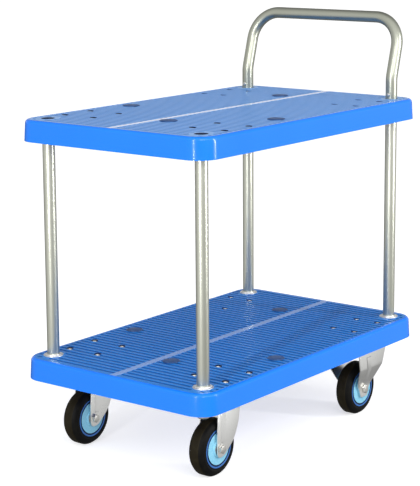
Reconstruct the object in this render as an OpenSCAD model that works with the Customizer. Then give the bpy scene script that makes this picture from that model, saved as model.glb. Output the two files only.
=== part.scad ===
// Two-deck platform cart: two moulded decks on four tube posts, a lift-out
// tube handle at one end, two swivel castors and two fixed castors.
// +X is the handle end, -Y the right-hand side, Z = 0 the floor.

/* [Decks] */
// Length of a deck along X
deck_l = 780; // [700:5:1000]
// Width of a deck along Y
deck_w = 480; // [440:5:640]
// Height of a deck's skirt
deck_h = 44; // [40:1:60]
// Radius of a deck's corners seen from above
deck_corner = 44; // [40:1:60]
// Thickness of the skirt wall
skirt_wall = 3.5; // [2.5:0.5:5]
// Thickness of the top plate
top_wall = 5; // [4:0.5:7]
// How far the skirt leans in from bottom to top
skirt_draft = 2; // [0.5:0.5:4]
// Radius of the rounded edge between top and skirt
edge_round = 7; // [4:0.5:9]
// Height of the lower deck's top above the floor
lower_top = 200; // [195:1:240]
// Distance from the lower deck's top to the upper deck's top
deck_spacing = 493; // [400:1:600]

/* [Grip ribs on the decks] */
// Distance from one grip rib to the next
rib_pitch = 15.85; // [12:0.05:20]
// Width of a grip rib
rib_w = 8.5; // [6:0.5:11]
// Height of a grip rib
rib_h = 1.2; // [0.6:0.1:2]
// Width of the smooth strip along the middle
strip_w = 16; // [10:1:30]
// Width of the smooth border round the ribbed field
field_border = 13; // [11:1:20]
// Radius of the ribbed field's corners
field_corner = 34; // [28:1:36]

/* [Underside of the decks] */
// Thickness of the stiffening webs
web_wall = 3; // [2:0.5:4]
// Spacing of the stiffening webs
web_pitch = 78; // [60:1:85]
// How far the webs and bosses stop short of the skirt's lower edge
web_short = 2; // [1:0.5:4]

/* [Posts] */
// Outside diameter of the post and handle tube
tube_d = 25.4; // [22:0.1:32]
// Wall of the tube
tube_wall = 1.5; // [1.2:0.1:2.5]
// Distance from a post's axis to the end of the deck
post_end = 50; // [44:0.5:60]
// Distance from a post's axis to the side of the deck
post_side = 44.5; // [42:0.5:60]
// Wall of the boss round a post
boss_wall = 7; // [5:0.5:9]
// Depth of the open socket above a post's upper end
socket_depth = 18; // [12:1:24]
// Outside diameter of a post's collar
collar_d = 41; // [38:1:48]
// Height of a post's collar
collar_h = 4.5; // [4:0.5:12]
// Diameter of the nut under a post
foot_nut_d = 25; // [22:0.5:30]
// Height of the nut under a post
foot_nut_h = 14; // [8:0.5:16]
// Thickness of the washer under a post
foot_washer_h = 2.5; // [1.5:0.5:4]

/* [Handle] */
// Height of the handle's bar, to its middle, above the upper deck
handle_h = 174.5; // [140:0.5:260]
// Straight part of a handle leg above the upper deck
handle_straight = 38; // [32:1:60]
// Angle at which the handle leans out past the end
handle_lean = 16; // [8:0.5:18]
// Bend radius where a leg starts to lean
lean_bend = 60; // [45:1:80]
// Bend radius of the handle's top corners
grip_bend = 63; // [50:1:75]
// Wall of the spigot inside a handle leg
spigot_wall = 2; // [1.5:0.25:3]
// Length of the spigot held inside the post
spigot_hold = 42; // [30:1:60]
// Length of the spigot above the upper deck
spigot_rise = 22; // [18:1:30]
// Height of the snap button above the upper deck
button_h = 9.5; // [8:0.5:12]
// Diameter of the snap button
button_d = 8; // [6:0.5:9]

/* [Castors] */
// Diameter of a wheel
wheel_d = 116; // [108:1:122]
// Width of a tyre
tyre_w = 38; // [34:1:42]
// Diameter of the hub under the tyre
hub_d = 80; // [72:1:84]
// Gap from the tyre's side to a fork leg
fork_gap = 2; // [1:0.25:4]
// Thickness of the fork legs and castor plates
fork_wall = 2.5; // [2:0.25:3]
// Distance from the swivel axis back to the axle
trail = 34; // [28:1:36]
// Swivel axis, distance from the middle of the cart towards the front
swivel_x = 242; // [225:1:250]
// Swivel axis, distance from the cart's middle line
swivel_y = 166; // [150:1:170]
// Side of the swivel castor's square bolt pattern
swivel_bolts = 77; // [74:1:84]
// Fixed castor's axle, distance from the middle of the cart towards the handle
fixed_x = 234; // [215:1:245]
// Fixed castor, distance from the cart's middle line
fixed_y = 176; // [160:1:182]
// Fixed castor's bolt pattern along X
fixed_bolts_x = 95; // [85:1:100]
// Fixed castor's bolt pattern along Y
fixed_bolts_y = 54; // [48:1:60]
// Diameter of the castor bolts
castor_bolt_d = 8; // [6:0.5:10]
// Diameter of the axle bolt
axle_d = 10; // [8:0.5:12]
// Diameter of the bearing balls in a swivel head
ball_d = 7; // [5:0.5:7]

/* [Caps in the decks] */
// Diameter of a cap
cap_d = 36; // [32:1:40]
// Height of a cap above the ribs
cap_rise = 1.8; // [1:0.2:3]

/* [Clearances] */
// Clearance at each side of a fixed part in its hole
seat_gap = 0.2; // [0.05:0.05:0.3]
// Clearance at each side of a handle leg in its socket
socket_gap = 0.4; // [0.2:0.05:0.6]
// Clearance at each side of a turning part
run_gap = 0.05; // [0.02:0.01:0.1]
// Gap between faces that pass each other
face_gap = 0.3; // [0.2:0.05:0.5]

/* [Hidden] */
$fn = 48;

// Colours
deck_blue = [0.16, 0.54, 0.98];
cap_blue = [0.14, 0.24, 0.42];
steel = [0.78, 0.78, 0.76];
zinc = [0.86, 0.87, 0.86];
rubber = [0.07, 0.07, 0.07];
hub_blue = [0.5, 0.82, 0.95];

// Levels
upper_top = lower_top + deck_spacing;
web_z = -(deck_h - web_short); // underside of webs and bosses, below a deck's top
seat_z = lower_top + web_z; // face that the castor plates bolt to
axle_z = wheel_d / 2;
post_top = upper_top - socket_depth;
post_foot = lower_top - deck_h;

// Places
post_x = deck_l / 2 - post_end;
post_y = deck_w / 2 - post_side;
boss_d = tube_d + 2 * boss_wall;
tube_in = tube_d - 2 * tube_wall;
sides = [-1, 1];
// One cap in each quarter, as placed by the moulding
cap_places = [[-88, 190], [-233, -30], [244, 36], [-90, -190]];

// Deck outline
plan_x = deck_l / 2 - deck_corner;
plan_y = deck_w / 2 - deck_corner;
field_x = deck_l / 2 - field_border;
field_y = deck_w / 2 - field_border;
groove_w = rib_pitch - rib_w;
rib_count = floor((2 * field_x + rib_w) / rib_pitch);
field_start = -(rib_count * rib_pitch - rib_w) / 2;

// Caps and sockets
cap_stem = 7;
socket_d = tube_d + 2 * socket_gap;
pad_d = boss_d + 6; // smooth round each post, free of grooves

// Cross bolts that pin the posts, heights measured from the upper deck's top
cross_d = 6;
cross_z = -deck_h + 12;
cross_hex = 10;
cross_head_h = 4;

// Handle
spigot_d = tube_in - 2 * seat_gap;
spigot_in = spigot_d - 2 * spigot_wall;
spigot_foot = post_top - spigot_hold;
spigot_top = upper_top + spigot_rise;
rake_start = upper_top + handle_straight;
arc_z = lean_bend * sin(handle_lean);
rake_l = (handle_h - handle_straight - arc_z) / cos(handle_lean) - grip_bend;
lean_steps = 3;
corner_steps = 8;
tube_sides = 20;

// Castor bolts
bolt_hole = castor_bolt_d + 2 * seat_gap;
bolt_head_d = 1.75 * castor_bolt_d;
bolt_head_h = 4.5;
bolt_well_d = bolt_head_d + 1;
bolt_well = 6.5;
bolt_nut_w = 1.625 * castor_bolt_d;
bolt_nut_h = 0.8 * castor_bolt_d;
bolt_end = 1.5;
front_bolt_places = [for (x = sides, y = sides) [x * swivel_bolts / 2, y * swivel_bolts / 2]];
rear_bolt_places = [for (x = sides, y = sides) [x * fixed_bolts_x / 2, y * fixed_bolts_y / 2]];

// Castor frame
plate_h = 3.5;
plate_edge = 10; // from a bolt to the plate's edge
leg_in = tyre_w / 2 + fork_gap;
leg_out = leg_in + fork_wall;
leg_end = 18; // from the axle down to the end of a leg
leg_spread = 22; // how much further apart the fixed fork's legs are at the plate
crown_d = 76;
crown_top = seat_z - 20;
crown_h = 3;
race_in = 21;
race_out = 35;
ball_ring = (race_in + race_out) / 2;
ball_count = 16;
ball_gap = 0.1;
race_rise = 5.5;
ball_z = crown_top + race_rise + 1;
pin_d = 12;
pin_head_d = 24;
pin_head_h = 6;
flute_w = 16;
flute_h = 1.6;

// Wheel
sleeve_d = axle_d + 2;
bearing_d = 28;
bearing_w = 8;
hub_w = tyre_w - 2;
hub_boss_w = 2 * leg_in - 2;
axle_hex = 1.6 * axle_d;
axle_head_h = 6.4;
axle_nut_h = 9;

// Outline with its corners rounded: each point is [x, y, radius]
function unit(v) = v / norm(v);
function bend(p, a, b, r, n) =
    let (u = unit(a - p), w = unit(b - p), half = acos(u * w) / 2,
        d = r / tan(half), c = p + unit(u + w) * (r / sin(half)),
        s = p + u * d - c, e = p + w * d - c,
        t0 = atan2(s[1], s[0]), t1 = atan2(e[1], e[0]),
        turn = t1 - t0 > 180 ? t1 - t0 - 360 : (t1 - t0 < -180 ? t1 - t0 + 360 : t1 - t0))
    [for (i = [0:n]) c + r * [cos(t0 + turn * i / n), sin(t0 + turn * i / n)]];
function rounded(q, n = 6) =
    let (m = len(q))
    [for (i = [0:m - 1])
        let (p = [q[i][0], q[i][1]],
            a = [q[(i + m - 1) % m][0], q[(i + m - 1) % m][1]],
            b = [q[(i + 1) % m][0], q[(i + 1) % m][1]])
        each (q[i][2] > 0 ? bend(p, a, b, q[i][2], n) : [p])];

module four(x, y) {
    for (i = sides, j = sides) translate([i * x, j * y, 0]) children();
}

module hex(width, height) {
    cylinder(d = width / cos(30), h = height, $fn = 6);
}

module ring(outer, inner, height) {
    difference() {
        cylinder(d = outer, h = height);
        translate([0, 0, -1]) cylinder(d = inner, h = height + 2);
    }
}

// ---- Decks: both are the same moulding, drawn with the rib tops at Z = 0 ----

// Section through the edge of a deck, from the corner's axis outwards
module edge_section() {
    top_r = deck_corner - skirt_draft;
    polygon(rounded([
        [0, 0, 0],
        [top_r, 0, edge_round],
        [deck_corner, -deck_h, 0],
        [deck_corner - skirt_wall, -deck_h, 0],
        [top_r - skirt_wall, -top_wall, max(edge_round - skirt_wall, 1)],
        [0, -top_wall, 0]]));
}

module deck_edge() {
    for (i = [0:3])
        translate([(i == 0 || i == 3 ? 1 : -1) * plan_x, (i < 2 ? 1 : -1) * plan_y, 0])
            rotate([0, 0, 90 * i]) rotate_extrude(angle = 90) edge_section();
    for (s = sides) {
        translate([s * plan_x, s * plan_y, 0]) rotate([90, 0, s > 0 ? 0 : 180])
            linear_extrude(2 * plan_y) edge_section();
        translate([s * -plan_x, s * plan_y, 0]) rotate([90, 0, s > 0 ? 90 : -90])
            linear_extrude(2 * plan_x) edge_section();
    }
    translate([-plan_x, -plan_y, -top_wall]) cube([2 * plan_x, 2 * plan_y, top_wall]);
}

// Where the ribbed field ends beside the line x
function field_end(x) =
    let (over = abs(x) - (field_x - field_corner))
    over <= 0 ? field_y : field_y - field_corner + sqrt(max(field_corner ^ 2 - over ^ 2, 0));

module grooves() {
    difference() {
        for (i = [0:rib_count - 2], s = sides) {
            x = field_start + rib_w + i * rib_pitch;
            end = min(field_end(x), field_end(x + groove_w));
            long = end - strip_w / 2;
            translate([x, s > 0 ? strip_w / 2 : -end, -rib_h]) cube([groove_w, long, rib_h + 1]);
        }
        translate([0, 0, -rib_h - 1]) four(post_x, post_y) cylinder(d = pad_d, h = rib_h + 3);
    }
}

module webs() {
    depth = -web_z - top_wall;
    in_x = deck_l / 2 - skirt_wall;
    in_y = deck_w / 2 - skirt_wall;
    for (i = [-4:4])
        translate([i * web_pitch - web_wall / 2, -in_y, web_z]) cube([web_wall, 2 * in_y, depth + 1]);
    for (j = [-2:2])
        translate([-in_x, j * web_pitch - web_wall / 2, web_z]) cube([2 * in_x, web_wall, depth + 1]);
}

module bolt_bosses(place, pattern) {
    for (s = sides, b = pattern)
        translate([place[0] + b[0], s * place[1] + b[1], web_z])
            cylinder(d = bolt_well_d + 6, h = -web_z - 1);
}

module bolt_holes(place, pattern) {
    for (s = sides, b = pattern) translate([place[0] + b[0], s * place[1] + b[1], 0]) {
        translate([0, 0, web_z - 1]) cylinder(d = bolt_hole, h = -web_z);
        translate([0, 0, -bolt_well]) cylinder(d = bolt_well_d, h = bolt_well + 1);
    }
}

module cross_bolt_holes() {
    for (i = sides, j = sides) translate([i * post_x, j * post_y, 0])
        rotate([j * 90, 0, 0]) cylinder(d = cross_d + 2 * seat_gap, h = boss_d / 2 + 1);
}

module deck_moulding() {
    color(deck_blue) difference() {
        union() {
            deck_edge();
            intersection() {
                webs();
                translate([0, 0, web_z - 1]) deck_inside(-web_z);
            }
            translate([0, 0, -deck_h]) four(post_x, post_y) cylinder(d = boss_d, h = deck_h - 1);
            bolt_bosses([-swivel_x, swivel_y], front_bolt_places);
            bolt_bosses([fixed_x, fixed_y], rear_bolt_places);
        }
        grooves();
        translate([0, 0, -deck_h - 1]) four(post_x, post_y)
            cylinder(d = tube_d + 2 * seat_gap, h = deck_h + 2);
        translate([0, 0, -socket_depth]) four(post_x, post_y)
            cylinder(d = socket_d, h = socket_depth + 1);
        bolt_holes([-swivel_x, swivel_y], front_bolt_places);
        bolt_holes([fixed_x, fixed_y], rear_bolt_places);
        for (c = cap_places) translate([c[0], c[1], -cap_stem - 2])
            cylinder(d = cap_d - 6, h = cap_stem + 3);
        translate([0, 0, cross_z]) cross_bolt_holes();
    }
}

// Prism that keeps the webs inside the skirt
module deck_inside(height) {
    r = deck_corner - skirt_draft;
    linear_extrude(height) polygon(rounded([
        [deck_l / 2 - skirt_draft - 1, deck_w / 2 - skirt_draft - 1, r],
        [-deck_l / 2 + skirt_draft + 1, deck_w / 2 - skirt_draft - 1, r],
        [-deck_l / 2 + skirt_draft + 1, -deck_w / 2 + skirt_draft + 1, r],
        [deck_l / 2 - skirt_draft - 1, -deck_w / 2 + skirt_draft + 1, r]]));
}

module deck_caps() {
    color(cap_blue) for (c = cap_places) translate([c[0], c[1], 0]) {
        rotate_extrude() polygon(rounded([
            [0, 0, 0],
            [cap_d / 2, 0, 0],
            [cap_d / 2, cap_rise, cap_rise * 0.8],
            [0, cap_rise, 0]]));
        translate([0, 0, -cap_stem]) cylinder(d = cap_d - 6 - 2 * seat_gap, h = cap_stem + 0.5);
    }
}

// ---- Posts ----
module post(i, j) {
    color(steel) translate([i * post_x, j * post_y, 0]) difference() {
        translate([0, 0, post_foot]) cylinder(d = tube_d, h = post_top - post_foot);
        translate([0, 0, post_foot - 1]) cylinder(d = tube_in, h = post_top - post_foot + 2);
        translate([0, 0, upper_top + cross_z]) rotate([j * 90, 0, 0])
            cylinder(d = cross_d + 2 * seat_gap, h = tube_d);
    }
}

// Flared collar, base at Z = 0
module collar() {
    color(zinc) rotate_extrude() polygon(rounded([
        [tube_d / 2 + run_gap, 0, 0],
        [collar_d / 2, 0, 0],
        [collar_d / 2, 2.5, 1.2],
        [tube_d / 2 + 3.5, collar_h * 0.6, 1.5],
        [tube_d / 2 + 2.2, collar_h, 0.8],
        [tube_d / 2 + run_gap, collar_h, 0]]));
}

module foot_washer() {
    color(zinc) translate([0, 0, -foot_washer_h]) ring(boss_d - 4, tube_in - 1, foot_washer_h);
}

// Round nut with a stem that grips the inside of the post
module foot_nut() {
    stem_d = tube_in - 2 * seat_gap;
    color(zinc) union() {
        rotate_extrude() polygon(rounded([
            [0, -foot_washer_h - foot_nut_h, 0],
            [foot_nut_d / 2, -foot_washer_h - foot_nut_h, 3],
            [foot_nut_d / 2, -foot_washer_h, 0],
            [0, -foot_washer_h, 0]]));
        translate([0, 0, -foot_washer_h - 1]) cylinder(d = stem_d - 1, h = foot_washer_h + 1);
        translate([0, 0, -0.5]) cylinder(d = stem_d - 1, h = 22);
    }
}

module post_cross_bolt(i, j) {
    color(zinc) translate([i * post_x, j * post_y, upper_top + cross_z]) rotate([j * 90, 0, 0]) {
        translate([0, 0, spigot_in / 2 - 2]) cylinder(d = cross_d, h = boss_d / 2 - spigot_in / 2 + 3);
        translate([0, 0, boss_d / 2]) hex(cross_hex, cross_head_h);
    }
}

// ---- Handle ----

// Line of the handle from the left leg's foot to the middle of the bar:
// each stop is [point, lean of the leg, turn towards the bar]
function lean_stop(a) = [[post_x + lean_bend * (1 - cos(a)), post_y, rake_start + lean_bend * sin(a)], a, 0];
function corner_stop(b) = [
    lean_stop(handle_lean)[0] + (rake_l + grip_bend * sin(b)) * [sin(handle_lean), 0, cos(handle_lean)]
        - [0, grip_bend * (1 - cos(b)), 0], handle_lean, b];
half_line = concat([[[post_x, post_y, post_top + face_gap], 0, 0]],
    [for (i = [0:lean_steps]) lean_stop(handle_lean * i / lean_steps)],
    [for (i = [0:corner_steps]) corner_stop(90 * i / corner_steps)]);
half_count = len(half_line);
handle_line = concat(half_line, [for (i = [half_count - 1:-1:0])
    let (h = half_line[i]) [[h[0][0], -h[0][1], h[0][2]], h[1], 180 - h[2]]]);

// Ring of points of radius r round one stop
function ring_points(stop, r) =
    let (a = stop[1], b = stop[2], along = cos(b) * [sin(a), 0, cos(a)] - sin(b) * [0, 1, 0],
        u = [cos(a), 0, -sin(a)], w = cross(along, u))
    [for (k = [0:tube_sides - 1]) stop[0] + r * (cos(360 * k / tube_sides) * u + sin(360 * k / tube_sides) * w)];

module handle_tube() {
    n = len(handle_line);
    m = tube_sides;
    points = [for (stop = handle_line, r = [tube_d / 2, tube_in / 2 / cos(180 / m)])
        each ring_points(stop, r)];
    faces = [for (k = [0:m - 1])
        let (q = (k + 1) % m, last = 2 * m * (n - 1))
        each concat(
            [for (i = [0:n - 2]) let (f = 2 * m * i, g = f + 2 * m) [f + k, g + k, g + q, f + q]],
            [for (i = [0:n - 2]) let (f = 2 * m * i + m, g = f + 2 * m) [f + q, g + q, g + k, f + k]],
            [[k, q, m + q, m + k], [last + q, last + k, last + m + k, last + m + q]])];
    polyhedron(points, faces);
}

module handle() {
    color(steel) difference() {
        handle_tube();
        for (s = sides) translate([post_x, s * post_y, upper_top + button_h]) rotate([0, -90, 0])
            cylinder(d = button_d + 2 * seat_gap, h = tube_d);
    }
}

module handle_spigot(s) {
    color(zinc) translate([post_x, s * post_y, 0]) difference() {
        translate([0, 0, spigot_foot]) cylinder(d = spigot_d, h = spigot_top - spigot_foot);
        translate([0, 0, spigot_foot - 1]) cylinder(d = spigot_in, h = spigot_top - spigot_foot + 2);
        translate([0, 0, upper_top + button_h]) rotate([0, -90, 0])
            cylinder(d = button_d + 2 * seat_gap, h = tube_d);
        translate([0, 0, upper_top + cross_z]) rotate([s * 90, 0, 0])
            cylinder(d = cross_d + 2 * seat_gap, h = tube_d);
    }
}

// Bent leaf spring with the snap button on its free end
module snap_clip(s) {
    leaf = 0.8;
    leaf_w = 8;
    back = spigot_in / 2 - 2;
    foot = -30;
    color(zinc) translate([post_x, s * post_y, upper_top + button_h]) {
        rotate([90, 0, 0]) translate([0, 0, -leaf_w / 2]) linear_extrude(leaf_w) polygon([
            [-back, 5], [-back, -8], [-2, foot + 3], [back - leaf, foot + 8],
            [back - leaf, -2], [back, -2], [back, foot + 7], [-2, foot + 1.8],
            [-back - leaf, -8.4], [-back - leaf, 5]]);
        rotate([0, -90, 0]) {
            cylinder(d = button_d, h = tube_d / 2 + 0.6);
            translate([0, 0, tube_d / 2 + 0.6]) rotate_extrude() polygon(rounded([
                [0, 0, 0], [button_d / 2, 0, 0], [button_d / 2, 1.6, 1.3], [0, 1.6, 0]]));
        }
    }
}

// ---- Castor hardware ----
module castor_bolts(place, pattern) {
    color(zinc) for (s = sides, b = pattern)
        translate([place[0] + b[0], s * place[1] + b[1], lower_top - bolt_well]) {
            rotate_extrude() polygon(rounded([
                [0, 0, 0],
                [bolt_head_d / 2, 0, 0],
                [bolt_head_d / 2, bolt_head_h, 3],
                [0, bolt_head_h, 0]]));
            under = lower_top - bolt_well - seat_z + plate_h + bolt_nut_h + bolt_end;
            translate([0, 0, -under]) cylinder(d = castor_bolt_d, h = under + 1);
        }
}

module castor_nuts(place, pattern) {
    color(zinc) for (s = sides, b = pattern)
        translate([place[0] + b[0], s * place[1] + b[1], seat_z - plate_h - bolt_nut_h])
            difference() {
                hex(bolt_nut_w, bolt_nut_h);
                translate([0, 0, -1]) cylinder(d = castor_bolt_d + 2 * run_gap, h = bolt_nut_h + 2);
            }
}

// Flat castor plate with its top at Z = 0
module castor_plate(x0, x1, half_y, pattern) {
    difference() {
        translate([0, 0, -plate_h]) linear_extrude(plate_h) polygon(rounded([
            [x1, half_y, 9], [x0, half_y, 9], [x0, -half_y, 9], [x1, -half_y, 9]]));
        for (b = pattern) translate([b[0], b[1], -plate_h - 1])
            cylinder(d = bolt_hole, h = plate_h + 2);
    }
}

// Track for the balls, cut from a ring
module ball_track(z) {
    translate([0, 0, z]) rotate_extrude() translate([ball_ring, 0]) circle(d = ball_d + 2 * ball_gap);
}

module swivel_plate(s) {
    half = swivel_bolts / 2 + plate_edge;
    foot = ball_z + 1;
    color(zinc) translate([-swivel_x, s * swivel_y, 0]) difference() {
        union() {
            translate([0, 0, seat_z]) castor_plate(-half, half, half, front_bolt_places);
            translate([0, 0, foot]) ring(2 * race_out, 2 * race_in, seat_z - plate_h - foot + 1);
        }
        ball_track(ball_z);
        translate([0, 0, crown_top]) cylinder(d = pin_d + 2 * run_gap, h = 40);
    }
}

module swivel_balls(s) {
    color(steel) translate([-swivel_x, s * swivel_y, ball_z])
        for (i = [0:ball_count - 1]) rotate([0, 0, i * 360 / ball_count])
            translate([ball_ring, 0, 0]) sphere(d = ball_d);
}

module kingpin(s) {
    head_z = crown_top - crown_h - face_gap - pin_head_h;
    color(zinc) translate([-swivel_x, s * swivel_y, 0]) union() {
        translate([0, 0, head_z + 1]) cylinder(d = pin_d, h = seat_z - head_z - 1);
        rotate_extrude() polygon(rounded([
            [0, head_z, 0],
            [pin_head_d / 2, head_z, 2.5],
            [pin_head_d / 2, head_z + pin_head_h, 0],
            [0, head_z + pin_head_h, 0]]));
    }
}

// Side outline of a swivel fork leg, measured from the swivel axis
module swivel_leg_outline() {
    foot = axle_z - leg_end;
    polygon(rounded([
        [-trail - 6.5, crown_top - 1, 0],
        [-trail - 11.5, axle_z + 28, 30],
        [-trail - 11.5, foot, 12],
        [-trail + 10, foot, 13],
        [-trail + 44, axle_z + 10, 25],
        [-trail + 59.5, axle_z + 44, 40],
        [-trail + 64, crown_top - 1, 0]]));
}

// Side outline of a fixed fork leg, measured from the axle
module fixed_leg_outline() {
    foot = axle_z - leg_end;
    polygon(rounded([
        [-57, seat_z, 0],
        [-44, axle_z + 50, 40],
        [-33, axle_z + 22, 30],
        [-18, axle_z - 2, 15],
        [-13, foot, 8],
        [13, foot, 8],
        [18, axle_z - 2, 15],
        [33, axle_z + 22, 30],
        [44, axle_z + 50, 40],
        [57, seat_z, 0]]));
}

// Pressed rib that stiffens a leg above the axle; x is its middle
module flute(x, z0, z1) {
    translate([x, 0, z0]) linear_extrude(z1 - z0) polygon([
        [-flute_w / 2, 0.5], [-flute_w / 2, 0], [-flute_w / 2 + flute_h, -flute_h],
        [flute_w / 2 - flute_h, -flute_h], [flute_w / 2, 0], [flute_w / 2, 0.5]]);
}

module swivel_fork(s) {
    color(zinc) translate([-swivel_x, s * swivel_y, 0]) difference() {
        union() {
            translate([0, 0, crown_top - crown_h]) cylinder(d = crown_d, h = crown_h);
            translate([0, 0, crown_top - 1]) ring(2 * race_out, 2 * race_in, race_rise + 1);
            for (k = sides) translate([0, k > 0 ? leg_out : -leg_in, 0]) rotate([90, 0, 0])
                linear_extrude(fork_wall) swivel_leg_outline();
            for (k = [0, 1]) mirror([0, k, 0]) translate([0, -leg_out, 0])
                flute(-trail + 6.5, axle_z + 12, crown_top - crown_h + 1);
        }
        ball_track(ball_z);
        translate([0, 0, crown_top - 10]) cylinder(d = pin_d + 4 * run_gap, h = 30);
        translate([-trail, 0, axle_z]) rotate([90, 0, 0])
            cylinder(d = axle_d + 2 * seat_gap, h = 4 * leg_out, center = true);
    }
}

// Front section of the fixed fork's legs: upright beside the axle, spreading to the plate
module fixed_leg_sections(inner, outer) {
    knee = axle_z + 9;
    shoulder = axle_z + 52;
    foot = axle_z - leg_end - 1;
    top = seat_z - plate_h + 0.5;
    wide = leg_spread - 3;
    for (k = [0, 1]) mirror([0, k, 0]) translate([-100, 0, 0]) rotate([90, 0, 90]) linear_extrude(200)
        polygon([[inner, foot], [outer, foot], [outer, knee], [outer + wide, shoulder],
            [outer + leg_spread, top], [inner + leg_spread, top], [inner + wide, shoulder], [inner, knee]]);
}

module fixed_fork(s) {
    half_y = leg_out + leg_spread + 0.5;
    half_x = fixed_bolts_x / 2 + plate_edge;
    color(zinc) translate([fixed_x, s * fixed_y, 0]) difference() {
        union() {
            translate([0, 0, seat_z]) castor_plate(-half_x, half_x, half_y, rear_bolt_places);
            intersection() {
                translate([0, 3 * leg_out, 0]) rotate([90, 0, 0])
                    linear_extrude(6 * leg_out) fixed_leg_outline();
                fixed_leg_sections(leg_in, leg_out);
            }
            // pressed ribs that lean towards the front
            intersection() {
                translate([0, 3 * leg_out, axle_z]) rotate([90, 0, 0]) linear_extrude(6 * leg_out)
                    polygon([[-flute_w / 2, 12], [flute_w / 2, 12], [flute_w / 2 - 16, 80], [-flute_w / 2 - 16, 80]]);
                fixed_leg_sections(leg_out - 1, leg_out + flute_h);
            }
        }
        translate([0, 0, axle_z]) rotate([90, 0, 0])
            cylinder(d = axle_d + 2 * seat_gap, h = 4 * leg_out, center = true);
    }
}

// ---- Wheels: drawn round the Y axis at the origin ----
module on_axle(end, s) {
    x = end == "front" ? -swivel_x - trail : fixed_x;
    y = end == "front" ? swivel_y : fixed_y;
    translate([x, s * y, axle_z]) rotate([90, 0, 0]) children();
}

module axle_bolt() {
    color(zinc) {
        translate([0, 0, -leg_out - axle_nut_h - 2]) cylinder(d = axle_d, h = 2 * leg_out + axle_nut_h + 3);
        translate([0, 0, leg_out]) hex(axle_hex, axle_head_h);
    }
}

module axle_nut() {
    color(zinc) translate([0, 0, -leg_out - axle_nut_h]) difference() {
        hex(axle_hex, axle_nut_h);
        translate([0, 0, -1]) cylinder(d = axle_d + 2 * run_gap, h = axle_nut_h + 2);
    }
}

module axle_sleeve() {
    color(zinc) translate([0, 0, -leg_in]) ring(sleeve_d, axle_d + 2 * run_gap, 2 * leg_in);
}

module bearings() {
    color(steel) for (k = [0, 1]) mirror([0, 0, k])
        translate([0, 0, hub_boss_w / 2 - bearing_w])
            ring(bearing_d, sleeve_d + 2 * run_gap, bearing_w);
}

module hub() {
    rim_r = hub_d / 2;
    half = hub_w / 2;
    boss = hub_boss_w / 2;
    dish = boss - 2;
    color(hub_blue) difference() {
        rotate_extrude() polygon([
            [sleeve_d / 2 + 1, -boss], [bearing_d / 2 + 3.5, -boss],
            [bearing_d / 2 + 4.5, -dish], [rim_r - 6.5, -dish], [rim_r - 6, -dish + 4],
            [rim_r - 3.5, -dish + 4], [rim_r - 3, -half], [rim_r, -half],
            [rim_r, half], [rim_r - 3, half], [rim_r - 3.5, dish - 4],
            [rim_r - 6, dish - 4], [rim_r - 6.5, dish], [bearing_d / 2 + 4.5, dish],
            [bearing_d / 2 + 3.5, boss], [sleeve_d / 2 + 1, boss]]);
        for (k = [0, 1]) mirror([0, 0, k]) translate([0, 0, boss - bearing_w])
            cylinder(d = bearing_d + 2 * run_gap, h = bearing_w + 1);
    }
}

module tyre() {
    r = wheel_d / 2;
    bore = hub_d / 2 + run_gap;
    half = tyre_w / 2;
    color(rubber) rotate_extrude() polygon(rounded([
        [bore, -half + 1, 0], [bore + 6, -half, 6], [r - 4, -half + 3.5, 8], [r, -half + 10, 8],
        [r, half - 10, 8], [r - 4, half - 3.5, 8], [bore + 6, half, 6], [bore, half - 1, 0]]));
}

// ---- Assembly ----
translate([0, 0, lower_top]) deck_moulding();  // lower_deck
translate([0, 0, upper_top]) deck_moulding();  // upper_deck
translate([0, 0, lower_top]) deck_caps();  // lower_deck_caps
translate([0, 0, upper_top]) deck_caps();  // upper_deck_caps
post(-1, 1);  // post_front_left
post(-1, -1);  // post_front_right
post(1, 1);  // post_rear_left
post(1, -1);  // post_rear_right
translate([0, 0, lower_top]) four(post_x, post_y) collar();  // lower_post_collars
translate([0, 0, upper_top - deck_h]) four(post_x, post_y) mirror([0, 0, 1]) collar();  // upper_post_collars
translate([0, 0, post_foot]) four(post_x, post_y) foot_washer();  // post_foot_washers
translate([0, 0, post_foot]) four(post_x, post_y) foot_nut();  // post_foot_nuts
for (i = sides, j = sides) post_cross_bolt(i, j);  // post_cross_bolts
handle();
handle_spigot(1);  // handle_spigot_left
handle_spigot(-1);  // handle_spigot_right
snap_clip(1);  // snap_clip_left
snap_clip(-1);  // snap_clip_right
castor_bolts([-swivel_x, swivel_y], front_bolt_places);  // front_castor_bolts
castor_nuts([-swivel_x, swivel_y], front_bolt_places);  // front_castor_nuts
castor_bolts([fixed_x, fixed_y], rear_bolt_places);  // rear_castor_bolts
castor_nuts([fixed_x, fixed_y], rear_bolt_places);  // rear_castor_nuts
for (s = sides) {
    side = s > 0 ? "left" : "right";
    swivel_plate(s);
    swivel_balls(s);
    kingpin(s);
    swivel_fork(s);
    fixed_fork(s);
    for (end = ["front", "rear"]) {
        place = str(end, "_", side);
        on_axle(end, s) axle_bolt();
        on_axle(end, s) axle_nut();
        on_axle(end, s) axle_sleeve();
        on_axle(end, s) bearings();
        on_axle(end, s) hub();
        on_axle(end, s) tyre();
    }
}
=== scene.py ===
import math

import bmesh
import bpy
from mathutils import Matrix, Vector


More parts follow.
